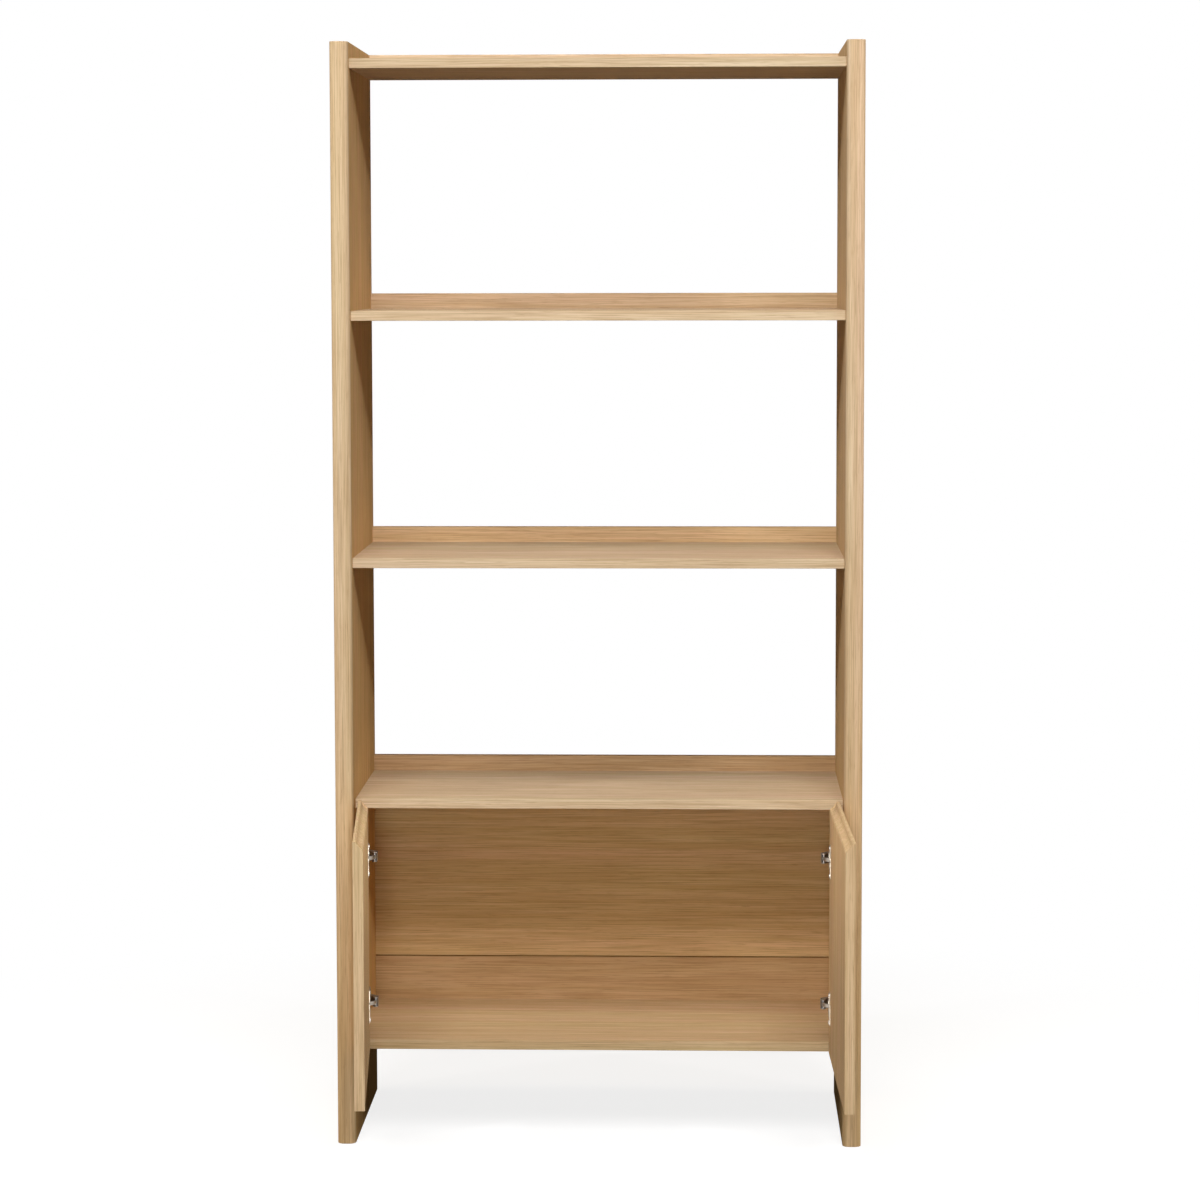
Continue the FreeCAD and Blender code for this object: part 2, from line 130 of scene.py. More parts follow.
# %% The world
# The studio's own dim light has already touched the wood, so it is warm.
studio_light = (0.062, 0.050, 0.038, 1)
world = bpy.data.worlds.new("studio")
bpy.context.scene.world = world
world.use_nodes = True
tree = world.node_tree
tree.nodes.clear()
colour = put_node(tree, "Mix", {0: sees_backdrop(tree), 6: studio_light, 7: (1, 1, 1, 1)},
                  data_type="RGBA")
sky = put_node(tree, "Background", {"Color": colour.outputs[2]})
put_node(tree, "OutputWorld", {"Surface": sky.outputs[0]})
print("studio light:", studio_light)

# %% The floor
floor_size, fade_start, fade_end = 30.0, 0.9, 1.8
# how much light the paper gives back to the wood, and how the camera sees it near the bookcase
paper_grey, shade_grey, near_glow = 0.10, 0.30, 0.80
bpy.ops.mesh.primitive_plane_add(size=floor_size, location=(0, 0, -0.5 * mm))
floor = bpy.context.active_object
floor.name = "paper_floor"
bpy.ops.object.transform_apply(location=True)
finish, tree = new_finish("white_paper")
place = put_node(tree, "TexCoord").outputs["Object"]
distance = put_node(tree, "VectorMath", {0: place}, operation="LENGTH").outputs["Value"]
fade = put_node(tree, "MapRange", {"Value": distance, "From Min": fade_start, "From Max": fade_end},
                interpolation_type="SMOOTHSTEP").outputs["Result"]
fibre = put_node(tree, "TexNoise", {"Vector": place, "Scale": 900.0, "Detail": 2.0}).outputs["Fac"]
bump = put_node(tree, "Bump", {"Height": fibre, "Strength": 0.05, "Distance": 0.1 * mm}).outputs[0]
paper = put_node(tree, "BsdfDiffuse", {"Color": (*[paper_grey] * 3, 1), "Normal": bump}).outputs[0]
shade = put_node(tree, "BsdfDiffuse", {"Color": (*[shade_grey] * 3, 1), "Normal": bump}).outputs[0]
glow = put_node(tree, "Emission", {"Strength": near_glow}).outputs[0]
white = put_node(tree, "Emission", {"Strength": 1.0}).outputs[0]
near = put_node(tree, "AddShader", {0: shade, 1: glow}).outputs[0]
seen = put_node(tree, "MixShader", {0: fade, 1: near, 2: white}).outputs[0]
both = put_node(tree, "MixShader", {0: sees_backdrop(tree), 1: paper, 2: seen}).outputs[0]
put_node(tree, "OutputMaterial", {"Surface": both})
floor.data.materials.append(finish)

# %% [markdown]
# ## The lamps
# The shadows in the picture say where the lamps stood. Under each shelf the shade on the inside
# of the sides starts at the front and widens softly towards the back, so the main light is a
# large soft box, high up in front. Two small lamps, farther out at its sides, give both inner
# faces their brighter triangles with a clear edge. A weak lamp at the height of the camera
# reaches into the cabinet. The last three are warm and light the outside and the back, which
# this camera never sees. The rear one stands far off, so that it barely grazes the inner faces.

# %% Hang the lamps
white_light, warm_light = (1.0, 1.0, 1.0), (1.0, 0.90, 0.76)
lamps = {
    # name: (place, height it is aimed at, width, height, power in watts, colour)
    "soft_box": ((0.0, -3.0, 4.25), -0.95, 3.4, 2.3, 202.0, white_light),
    "key_left": ((-6.6, -3.6, 3.8), 0.95, 0.3, 0.3, 105.0, white_light),
    "key_right": ((6.6, -3.6, 3.8), 0.95, 0.3, 0.3, 92.0, white_light),
    "front_fill": ((0.0, -6.0, 1.4), 0.6, 0.6, 0.6, 74.0, white_light),
    "side_left": ((-4.0, 0.18, 1.1), 0.95, 0.4, 1.6, 50.0, warm_light),
    "side_right": ((4.0, 0.18, 1.1), 0.95, 0.4, 1.6, 50.0, warm_light),
    "rear": ((0.0, 13.0, 1.9), 0.95, 0.4, 3.0, 520.0, warm_light),
}
middle_y = (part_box("left_side")[0][1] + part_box("left_side")[1][1]) / 2
for name, (spot, aim_height, width, height, power, light) in lamps.items():
    aim = Vector((0, middle_y, aim_height))
    bpy.ops.object.light_add(type="AREA", location=spot)
    lamp = bpy.context.active_object
    lamp.name = name
    lamp.data.shape = "RECTANGLE"
    lamp.data.size, lamp.data.size_y = width, height
    lamp.data.energy, lamp.data.color = power, light
    lamp.rotation_euler = (aim - Vector(spot)).to_track_quat("-Z", "Y").to_euler()
    lamp.visible_camera = False
    print(name, round((aim - Vector(spot)).length, 2), "m away,", power, "W")

# %% [markdown]
# ## Oak veneer
# The boards are covered with pale, straight-grained oak. Up close it is many thin fibres side
# by side, each drawn out a hundred times longer than it is wide, with short dark pores in the
# soft bands between the year rings, and a slow drift between pinkish and straw-coloured
# stripes. Each of these is a noise pattern on the board's own coordinates, squeezed across
# the grain. Because every board was cut from another leaf of veneer, each gets its own shift
# of the pattern and a slightly different tone. The wide faces of sides and doors were veneered
# apart from their edges, and a mark on those faces lets the material paint light on them: warm
# bounce shade on the left side, more light on the right side and the doors. The sides also get
# painted shade, darker and more golden towards the floor.

# %% Patterns that are drawn out along the grain
def drawn_out(tree, place, grain, across, along, detail, roughness=0.5):
    scale = Vector((across, across, across))
    scale["XYZ".index(grain)] = along
    squeezed = put_node(tree, "Mapping", {"Vector": place, "Scale": scale}, vector_type="POINT")
    noise = put_node(tree, "TexNoise", {"Vector": squeezed.outputs[0], "Scale": 1.0, "Detail": detail,
                                        "Roughness": roughness})
    return noise.outputs["Fac"]


def remap(tree, value, low, high, to_low=0.0, to_high=1.0):
    return put_node(tree, "MapRange", {"Value": value, "From Min": low, "From Max": high,
                                       "To Min": to_low, "To Max": to_high}).outputs["Result"]


def blend_colour(tree, share, first, second, way="MIX"):
    return put_node(tree, "Mix", {0: share, 6: first, 7: second}, data_type="RGBA",
                    blend_type=way).outputs[2]


def arithmetic(tree, operation, first, second):
    return put_node(tree, "Math", {0: first, 1: second}, operation=operation).outputs[0]


# %% The veneer
# palest fibre, soft band, straw stripe, pinkish stripe, dark hairline and pore
oak_colours = (232, 205, 168), (198, 164, 121), (213, 187, 142), (220, 184, 150), (150, 113, 74)
# each pattern: how fine it is across and along the grain, per metre, then detail and roughness
fibre_pattern, hairline_pattern = (520.0, 6.0, 2.0, 0.6), (800.0, 8.0, 1.5, 0.6)
strand_pattern, pore_pattern = (110.0, 1.6, 2.0, 0.55), (900.0, 34.0, 2.0, 0.55)
stripe_pattern, ring_pattern, wander_pattern = (22.0, 0.6, 1.5), (10.0, 0.7, 1.0), (7.0, 1.3, 2.0)
sway_width, ring_count = 0.010, 75.0
# how strongly each colour covers the ones before it
fibre_share, band_share, ring_share, hairline_share, pore_share = 0.60, 0.50, 0.36, 0.42, 0.35
# painted shade: the sides grow darker and more golden towards the floor, between these two heights
floor_shade_height, floor_shade_fade_height = 0.15, 1.10


def tone(colour, cast=(1, 1, 1)):
    """A colour given as a paint chart does, 0 to 255, as Blender's linear values."""
    return tuple(min(1.0, (value / 255) ** 2.2 * share) for value, share in zip(colour, cast)) + (1.0,)


def oak_veneer(name, grain, leaf, cast=(1, 1, 1), figure=0.5, face_light_cast=None, floor_shade_cast=None):
    finish, tree = new_finish(name)
    own = put_node(tree, "TexCoord").outputs["Object"]
    leaf_shift = Vector((0.37 * leaf, 0.53 * leaf, 0.29 * leaf))
    place = put_node(tree, "Mapping", {"Vector": own, "Location": leaf_shift}).outputs[0]
    wander = drawn_out(tree, place, grain, *wander_pattern)
    sway = put_node(tree, "Math", {0: wander, 1: 0.5}, operation="SUBTRACT").outputs[0]
    sway = arithmetic(tree, "MULTIPLY", sway, sway_width)
    place = put_node(tree, "VectorMath", {0: place, 1: sway}, operation="ADD").outputs[0]

    rings = drawn_out(tree, place, grain, *ring_pattern)
    rings = arithmetic(tree, "MULTIPLY", rings, ring_count)
    rings = arithmetic(tree, "SINE", rings, 0.0)
    rings = remap(tree, rings, -1.0, 1.0)
    fibres = drawn_out(tree, place, grain, *fibre_pattern)
    hairlines = drawn_out(tree, place, grain, *hairline_pattern)
    strands = drawn_out(tree, place, grain, *strand_pattern)
    stripes = drawn_out(tree, place, grain, *stripe_pattern)
    pores = drawn_out(tree, place, grain, *pore_pattern)
    pores = remap(tree, pores, 0.58, 0.70)

    light, dark, straw, blush, pore = [tone(colour, cast) for colour in oak_colours]
    colour = blend_colour(tree, remap(tree, stripes, 0.35, 0.65), straw, blush)
    grain_lines = remap(tree, fibres, 0.36, 0.66)
    colour = blend_colour(tree, remap(tree, grain_lines, 0.0, 1.0, 0.0, fibre_share), colour, light)
    soft_bands = arithmetic(tree, "MULTIPLY", remap(tree, strands, 0.42, 0.66), band_share)
    colour = blend_colour(tree, soft_bands, colour, dark)
    colour = blend_colour(tree, arithmetic(tree, "MULTIPLY", rings, ring_share * figure), colour, dark)
    colour = blend_colour(tree, remap(tree, hairlines, 0.44, 0.66, 0.0, hairline_share), colour, pore)
    colour = blend_colour(tree, arithmetic(tree, "MULTIPLY", pores, pore_share), colour, pore)
    # painted light: a cast on the marked wide faces stands in for the light and shade that falls on them
    if face_light_cast:
        face_light_mask = put_node(tree, "Attribute", attribute_name="painted_light_face").outputs["Fac"]
        face_light_tone = blend_colour(tree, face_light_mask, (1, 1, 1, 1), (*face_light_cast, 1))
        colour = blend_colour(tree, 1.0, colour, face_light_tone, "MULTIPLY")
    # painted shade: the colour grows darker and more golden towards the floor
    if floor_shade_cast:
        height = put_node(tree, "SeparateXYZ", {"Vector": own}).outputs["Z"]
        floor_shade_mask = remap(tree, height, floor_shade_fade_height, floor_shade_height)
        colour = blend_colour(tree, floor_shade_mask, colour, (*floor_shade_cast, 1), "MULTIPLY")

    sheen = remap(tree, grain_lines, 0.0, 1.0, 0.90, 0.80)
    height = arithmetic(tree, "SUBTRACT", arithmetic(tree, "MULTIPLY", fibres, 0.5), pores)
    bump = put_node(tree, "Bump", {"Height": height, "Strength": 0.22, "Distance": 0.08 * mm}).outputs[0]
    wood = put_node(tree, "BsdfPrincipled", {"Base Color": colour, "Roughness": sheen, "Normal": bump,
                                             "Specular IOR Level": 0.0})
    put_node(tree, "OutputMaterial", {"Surface": wood.outputs[0]})
    return finish


print("palest fibre:", [round(value, 3) for value in tone(oak_colours[0])[:3]])

# %% [markdown]
# ## Boards
# Every lying board is a rectangle of veneered board, sixteen millimetres thick, with its edges
# just broken by sanding. A cube at the board's size and place is the start. The round pockets
# for the cam locks are cut from it with cylinders, then one bevel softens every sharp edge,
# the rims of the pockets too. Doing the bevel last is why the cutting comes first.

# %% Start a block and cut with others
def fresh_block(name, low, high):
    bpy.ops.object.select_all(action="DESELECT")
    low, high = Vector(low), Vector(high)
    bpy.ops.mesh.primitive_cube_add(size=1, location=(low + high) / 2, scale=high - low)
    block = bpy.context.active_object
    block.name = block.data.name = name
    bpy.ops.object.transform_apply(location=True, rotation=True, scale=True)
    return block


def fresh_rod(name, radius, start, end, sides=64):
    start, end = Vector(start), Vector(end)
    bpy.ops.object.select_all(action="DESELECT")
    turn = (end - start).to_track_quat("Z", "Y").to_euler()
    bpy.ops.mesh.primitive_cylinder_add(vertices=sides, radius=radius, depth=(end - start).length,
                                        location=(start + end) / 2, rotation=turn)
    rod = bpy.context.active_object
    rod.name = rod.data.name = name
    bpy.ops.object.transform_apply(location=True, rotation=True, scale=True)
    return rod


def make_active(piece):
    bpy.ops.object.select_all(action="DESELECT")
    piece.select_set(True)
    bpy.context.view_layer.objects.active = piece


def combine(piece, others, operation):
    for other in others:
        make_active(piece)
        joint = piece.modifiers.new("joint", "BOOLEAN")
        joint.operation, joint.object, joint.solver = operation, other, "EXACT"
        bpy.ops.object.modifier_apply(modifier=joint.name)
        bpy.data.objects.remove(other)


# %% Break the edges
def soften(piece, width, segments=3, angle=30.0):
    make_active(piece)
    edge = piece.modifiers.new("soft_edges", "BEVEL")
    edge.width, edge.segments, edge.limit_method = width, segments, "ANGLE"
    edge.angle_limit = radians(angle)
    edge.use_clamp_overlap = True
    bpy.ops.object.modifier_apply(modifier=edge.name)
    bpy.ops.object.shade_smooth_by_angle(angle=radians(32))


def steady_shading(piece):
    """Lets each wide flat face keep its own normal, so that the soft edges don't shade it."""
    make_active(piece)
    weights = piece.modifiers.new("steady_shading", "WEIGHTED_NORMAL")
    weights.mode, weights.weight, weights.keep_sharp = "FACE_AREA", 100, True
    bpy.ops.object.modifier_apply(modifier=weights.name)


def mark_faces(piece, wanted):
    """Marks the wide faces, for the material to paint light and shade on them."""
    marks = piece.data.attributes.new("painted_light_face", "FLOAT", "FACE")
    for face in piece.data.polygons:
        marks.data[face.index].value = float(wanted(face.normal))


def finish_piece(piece, body, slot, material, *nodes):
    piece.data.materials.clear()
    piece.data.materials.append(material)
    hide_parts(*nodes)
    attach(piece, body)


# %% [markdown]
# ## Shelves, cabinet top and cabinet floor
# All five lying boards have the same four cam pockets, two at each end. A pocket is a
# flat-bottomed hole of fifteen millimetres that stops just short of the other face. The pockets
# open where nobody looks: below, but on top of the top shelf, which is above eye level. A cast
# multiplies the veneer's colour, so that the boards differ a little, as real ones do.

# %% The lying boards
cam_bore, cam_depth, cam_from_end, cam_from_edge = 7.6 * mm, 12.6 * mm, 34 * mm, 50 * mm
board_edge = 0.5 * mm
# casts: red, green and blue
pale, plain, deep = (1.0, 1.05, 1.16), (1.0, 1.0, 0.95), (1.05, 1.0, 0.84)
# painted shade: the cast of the upper upstand and the two low casts, for the cabinet upstand and the
# back rail, darken boards that stand in shade at the back of the bays and inside the cabinet
top_pale, upstand_shade_cast = (0.92, 0.97, 1.10), (0.92, 0.95, 1.00)
cabinet_upstand_shade_cast, back_rail_shade_cast = (0.81, 0.76, 0.70), (0.88, 0.82, 0.70)
# node, leaf and cast
lying_boards = (("top_shelf", 1, top_pale), ("upper_shelf", 2, pale), ("middle_shelf", 3, pale),
                ("cabinet_top", 4, pale), ("cabinet_floor", 5, plain))
for node, leaf, cast in lying_boards:
    low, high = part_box(node)
    shelf = fresh_block(node + "_board", low, high)
    pockets = []
    if node == "top_shelf":
        mouth, bottom = high.z + mm, high.z - cam_depth
    else:
        mouth, bottom = low.z - mm, low.z + cam_depth
    for x in (low.x + cam_from_end, high.x - cam_from_end):
        for y in (low.y + cam_from_edge, high.y - cam_from_edge):
            pockets.append(fresh_rod("pocket", cam_bore, (x, y, mouth), (x, y, bottom), 48))
    combine(shelf, pockets, "DIFFERENCE")
    soften(shelf, board_edge)
    steady_shading(shelf)
    finish_piece(shelf, "carcass", "oak_veneer", oak_veneer("oak_" + node, "X", leaf, cast), node)
    print(shelf.name, "faces:", len(shelf.data.polygons))

# %% [markdown]
# ## Upstands, back rail and back panel
# Behind each board stands a low rail that stops books from falling out at the back. The
# cabinet has a taller rail and, above it, a panel that closes the back, with a thin dark gap
# between the two. These boards stand on edge, so their cam pockets open at the back.

# %% The standing boards
upstand_cam, rail_cam, panel_cam = 12 * mm, 22 * mm, 40 * mm
standing_figure = 0.6
# node, leaf, cast, heights of cams above the bottom edge and below the top edge
standing_boards = (
    ("top_upstand", 6, pale, (upstand_cam,), ()),
    ("upper_upstand", 7, upstand_shade_cast, (upstand_cam,), ()),
    ("middle_upstand", 8, plain, (upstand_cam,), ()),
    ("cabinet_upstand", 9, cabinet_upstand_shade_cast, (upstand_cam,), ()),
    ("cabinet_back_rail", 10, back_rail_shade_cast, (rail_cam,), ()),
    ("cabinet_back_panel", 21, deep, (panel_cam,), (panel_cam,)),
)
for node, leaf, cast, from_bottom, from_top in standing_boards:
    low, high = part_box(node)
    rail = fresh_block(node + "_board", low, high)
    heights = [low.z + step for step in from_bottom] + [high.z - step for step in from_top]
    pockets = [fresh_rod("pocket", cam_bore, (x, high.y + mm, z), (x, high.y - cam_depth, z), 48)
               for z in heights for x in (low.x + cam_from_end, high.x - cam_from_end)]
    combine(rail, pockets, "DIFFERENCE")
    soften(rail, board_edge)
    steady_shading(rail)
    wood = oak_veneer("oak_" + node, "X", leaf, cast, standing_figure)
    finish_piece(rail, "carcass", "oak_veneer", wood, node)
    print(rail.name, "faces:", len(rail.data.polygons))

# %% [markdown]
# ## Side panels
# The two sides are thirty millimetres thick and run from the floor to the very top. Their
# front edges are rounded to an eleven millimetre radius, which leaves only a narrow flat
# between them and shows as soft shade along both sides of each front. The two long edges are
# picked by their place and bevelled in edit mode, and the other edges are only broken, like
# those of the boards.

# %% Round the front edges
def pick_edges(piece, wanted):
    make_active(piece)
    bpy.context.tool_settings.mesh_select_mode = (False, True, False)
    mesh = piece.data
    for items in (mesh.vertices, mesh.edges, mesh.polygons):
        items.foreach_set("select", [False] * len(items))
    found = 0
    for edge in mesh.edges:
        ends = [mesh.vertices[index].co for index in edge.vertices]
        if wanted(*ends):
            edge.select = True
            for index in edge.vertices:
                mesh.vertices[index].select = True
            found += 1
    bpy.ops.object.mode_set(mode="EDIT")
    return found


front_radius, front_segments = 11 * mm, 16
# the second of these paints shade onto the sides, darker and more golden towards the floor
side_cast, side_floor_shade, side_figure = (1.0, 1.04, 1.10), (0.93, 0.87, 0.72), 0.5
# side, leaf, and the painted light of the wide faces: warm bounce shade on the left, more light on the
# right
sides = (("left", 12, (1.04, 0.93, 0.74)), ("right", 23, (1.06, 1.04, 0.96)))
for side, leaf, face_light_cast in sides:
    low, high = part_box(side + "_side")
    panel = fresh_block(side + "_side_panel", low, high)
    found = pick_edges(panel, lambda a, b: abs(a.z - b.z) > 1 and max(a.y, b.y) < low.y + mm)
    bpy.ops.mesh.bevel(offset=front_radius, segments=front_segments, profile=0.5)
    bpy.ops.object.mode_set(mode="OBJECT")
    soften(panel, board_edge, angle=40)
    steady_shading(panel)
    mark_faces(panel, lambda normal: abs(normal.x) > 0.999)
    wood = oak_veneer("oak_" + side + "_side", "Z", leaf, side_cast, side_figure, face_light_cast, side_floor_shade)
    finish_piece(panel, "carcass", "oak_veneer", wood, side + "_side")
    print(panel.name, "front edges rounded:", found, "faces:", len(panel.data.polygons))

# %% [markdown]
# ## Doors
# A door has no handle. Its top edge is bevelled on the inside, down to a rim four millimetres
# wide, and a shallow scoop in the bevel gives the fingers a hold. The doors are stored open,
# each at its own angle. A turned board is awkward to model, so the door is built closed, where
# its faces lie square, and its finished mesh is then swung open about the hinge line. The
# closed size is read from the construction: its own door is swung shut in numbers and measured.

# %% Measure the closed door
def swing(joint, degrees):
    centre = Matrix.Translation(Vector(joint["pos_m"]))
    return centre @ Matrix.Rotation(radians(degrees), 4, Vector(joint["axis"])) @ centre.inverted()


def closed_box(node, joint):
    shut = swing(joint, joint["range_deg"][0])
    points = [shut @ vertex.co for vertex in frame["nodes"][node].data.vertices]
    return (Vector([min(p[i] for p in points) for i in range(3)]),
            Vector([max(p[i] for p in points) for i in range(3)]))


joints = {joint["name"]: joint for joint in frame["joints"]}
door_boxes = {side: closed_box(side + "_door", joints[side + "_door_hinge"])
              for side in ("left", "right")}
for side, (low, high) in door_boxes.items():
    print(side, "door closed, in mm:", [round(v / mm, 1) for v in high - low])

# %% Hinge heights and the sizes that the doors share with the hinges
hinge_heights = {}
for level in ("lower", "upper"):
    low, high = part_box("left_" + level + "_hinge_plate")
    hinge_heights[level] = (low.z + high.z) / 2
inner_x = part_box("left_side")[1].x
cup_line, cup_radius, cup_depth = 22.5 * mm, 17.5 * mm, 12.5 * mm
print("hinge heights in mm:", {level: round(z / mm, 1) for level, z in hinge_heights.items()})

# %% Draw outlines as by hand
# One point is placed and the next is pulled out of it, and so on. A filled outline is then
# pulled out to a thickness, and an open one is spun about an axis into a round part.
def drawn_line(name, corners):
    bpy.ops.object.select_all(action="DESELECT")
    bpy.ops.mesh.primitive_plane_add(size=mm, location=corners[0])
    line = bpy.context.active_object
    line.name = line.data.name = name
    bpy.ops.object.transform_apply(location=True)
    bpy.ops.object.mode_set(mode="EDIT")
    bpy.ops.mesh.select_mode(type="VERT")
    bpy.ops.mesh.select_all(action="SELECT")
    bpy.ops.mesh.merge(type="CENTER")
    for start, end in zip(corners, corners[1:]):
        bpy.ops.mesh.extrude_vertices_move(TRANSFORM_OT_translate={"value": end - start})
    bpy.ops.mesh.select_all(action="SELECT")
    return line


def pulled_out(name, corners, pull):
    piece = drawn_line(name, corners)
    bpy.ops.mesh.edge_face_add()
    bpy.ops.mesh.extrude_region_move(TRANSFORM_OT_translate={"value": pull})
    bpy.ops.mesh.select_all(action="SELECT")
    bpy.ops.mesh.normals_make_consistent(inside=False)
    bpy.ops.object.mode_set(mode="OBJECT")
    return piece


def spun(name, corners, centre, axis, steps=64):
    piece = drawn_line(name, corners)
    bpy.ops.mesh.spin(steps=steps, angle=2 * pi, center=centre, axis=axis)
    bpy.ops.mesh.select_all(action="SELECT")
    bpy.ops.mesh.remove_doubles(threshold=0.001 * mm)
    bpy.ops.mesh.normals_make_consistent(inside=False)
    bpy.ops.object.mode_set(mode="OBJECT")
    return piece


def arc(centre, radius, start, end, steps):
    """Corners in a plane along a round, from one angle to another, both ends among them."""
    angles = [radians(start + (end - start) * step / steps) for step in range(steps + 1)]
    return [(centre[0] + radius * cos(angle), centre[1] + radius * sin(angle)) for angle in angles]


# %% The finger pull along the top
rim_width, bevel_drop = 4 * mm, 14.5 * mm
scoop_rim, scoop_depth, scoop_end = 2.6 * mm, 2.4 * mm, 3 * mm
cup_play = 0.1 * mm
# the doors' face cast is painted light: it brightens their wide faces
door_cast, door_face_light_cast, door_figure = (1.02, 1.04, 1.00), (1.24, 1.22, 1.20), 0.5


def finger_pull_cutters(low, high):
    rim = Vector((low.x - mm, low.y + rim_width, high.z))
    foot = Vector((low.x - mm, high.y, high.z - bevel_drop))
    along = (foot - rim).normalized()
    outward = Vector((0, -along.z, along.y))
    away = outward * (high.y - low.y)
    whole_width = Vector((high.x - low.x + 2 * mm, 0, 0))
    bevel = pulled_out("bevel", [rim, foot, foot + away, rim + away], whole_width)
    half_chord = (foot - rim).length / 2 - scoop_rim
    radius = half_chord ** 2 / (2 * scoop_depth) + scoop_depth / 2
    start = (rim + foot) / 2 + outward * (radius - scoop_depth)
    end = start.copy()
    start.x, end.x = low.x + scoop_end, high.x - scoop_end
    return [bevel, fresh_rod("scoop", radius, start, end, 256)]


for side, leaf in (("left", 14), ("right", 15)):
    low, high = door_boxes[side]
    joint = joints[side + "_door_hinge"]
    hand = -1 if side == "left" else 1
    door = fresh_block(side + "_door_panel", low, high)
    cutters = finger_pull_cutters(low, high)
    cup_x = hand * (abs(inner_x) - cup_line)
    for height in hinge_heights.values():
        cutters.append(fresh_rod("cup_pocket", cup_radius + cup_play, (cup_x, high.y + mm, height),
                                 (cup_x, high.y - cup_depth - cup_play, height)))
    combine(door, cutters, "DIFFERENCE")
    soften(door, board_edge)
    steady_shading(door)
    mark_faces(door, lambda normal: normal.y > 0.999)
    door.data.transform(swing(joint, -joint["range_deg"][0]))
    wood = oak_veneer("oak_" + side + "_door", "Z", leaf, door_cast, door_figure, door_face_light_cast)
    finish_piece(door, side + "_door_leaf", "oak_veneer", wood, side + "_door")
    print(door.name, "faces:", len(door.data.polygons))

# %% [markdown]
# ## Metal finishes
# The hinges are plated with satin nickel, a warm grey that blurs what it mirrors. Their arms
# and links are nickel too, painted darker for the shade that they stand in. Screws and pins are
# brighter steel, and the cams are raw cast zinc, duller and mottled. Each is one metal shader
# whose roughness and colour are broken up by a fine noise.

# %% Plated and cast metals
patch_size = 12


def metal(name, colour, roughness, mottle, scale):
    finish, tree = new_finish(name)
    place = put_node(tree, "TexCoord").outputs["Object"]
    grain = put_node(tree, "TexNoise", {"Vector": place, "Scale": scale, "Detail": 4.0}).outputs["Fac"]
    patch = put_node(tree, "TexNoise", {"Vector": place, "Scale": scale / patch_size, "Detail": 2.0})
    patch = patch.outputs["Fac"]
    darker = tuple(value * (1 - mottle) for value in colour[:3]) + (1.0,)
    shade = blend_colour(tree, remap(tree, patch, 0.3, 0.7), darker, colour)
    rough = remap(tree, grain, 0.3, 0.7, roughness * 0.8, roughness * 1.25)
    bump = put_node(tree, "Bump", {"Height": grain, "Strength": 0.12, "Distance": 0.02 * mm}).outputs[0]
    surface = put_node(tree, "BsdfPrincipled", {"Base Color": shade, "Metallic": 1.0, "Roughness": rough,
                                                "Normal": bump})
    put_node(tree, "OutputMaterial", {"Surface": surface.outputs[0]})
    return finish


# name, colour, roughness, how much darker its patches are, and how fine its grain is
nickel = metal("satin_nickel", (0.76, 0.69, 0.57, 1), 0.42, 0.10, 2500.0)
# painted shade: nickel made darker for the arms and links, which stand in shade
shaded_nickel = metal("shaded_nickel", (0.42, 0.37, 0.31, 1), 0.45, 0.15, 2500.0)
steel = metal("zinc_plated_steel", (0.70, 0.70, 0.69, 1), 0.30, 0.12, 2200.0)
bright_steel = metal("bright_steel", (0.72, 0.72, 0.72, 1), 0.22, 0.05, 2600.0)
cast_zinc = metal("cast_zinc", (0.50, 0.50, 0.49, 1), 0.48, 0.22, 1200.0)

# %% [markdown]
# ## Pieces that stay as they are
# Links, pins, cams, bolts and dowels are simple turned or cast shapes, and the construction
# already has them right. They stay, and only get a proper finish in place of the plain one.

# %% Give the kept fittings their finishes
beech_pale, beech_dark = (204, 168, 126), (178, 138, 96)


def plain_beech():
    finish, tree = new_finish("plain_beech")
    place = put_node(tree, "TexCoord").outputs["Object"]
    fleck = drawn_out(tree, place, "X", 900.0, 160.0, 3.0, 0.6)
    colour = blend_colour(tree, remap(tree, fleck, 0.4, 0.65), tone(beech_pale), tone(beech_dark))
    bump = put_node(tree, "Bump", {"Height": fleck, "Strength": 0.2, "Distance": 0.05 * mm}).outputs[0]
    wood = put_node(tree, "BsdfPrincipled", {"Base Color": colour, "Roughness": 0.6, "Normal": bump})
    put_node(tree, "OutputMaterial", {"Surface": wood.outputs[0]})
    return finish


kept = {"cam_locks": cast_zinc, "cam_bolts": steel, "dowels": plain_beech(),
        "hinge_arm_pins": bright_steel}
for side in ("left", "right"):
    kept[side + "_cup_pins"] = bright_steel
    for level in ("lower", "upper"):
        kept[side + "_" + level + "_hinge_link"] = shaded_nickel
for node, finish in kept.items():
    mesh = frame["nodes"][node].data
    mesh.materials.clear()
    mesh.materials.append(finish)
print("kept as built:", len(kept), "nodes")

# %% [markdown]
# ## Concealed hinges
# Four equal hinges carry the doors. Each has a pressed steel cup sunk in the door, an arm bent
# from sheet, and a mounting plate screwed to the side. The left lower one is modelled in its
# place, with the door closed, and the others are copies of it.

# %% Places on the hinge
hinge_corner = Vector((inner_x, door_boxes["left"][1].y, hinge_heights["lower"]))


def at(x, y, z=0.0):
    """A place on the left lower hinge in mm: inward from the side, back from the door, up."""
    return hinge_corner + Vector((x, y, z)) * mm


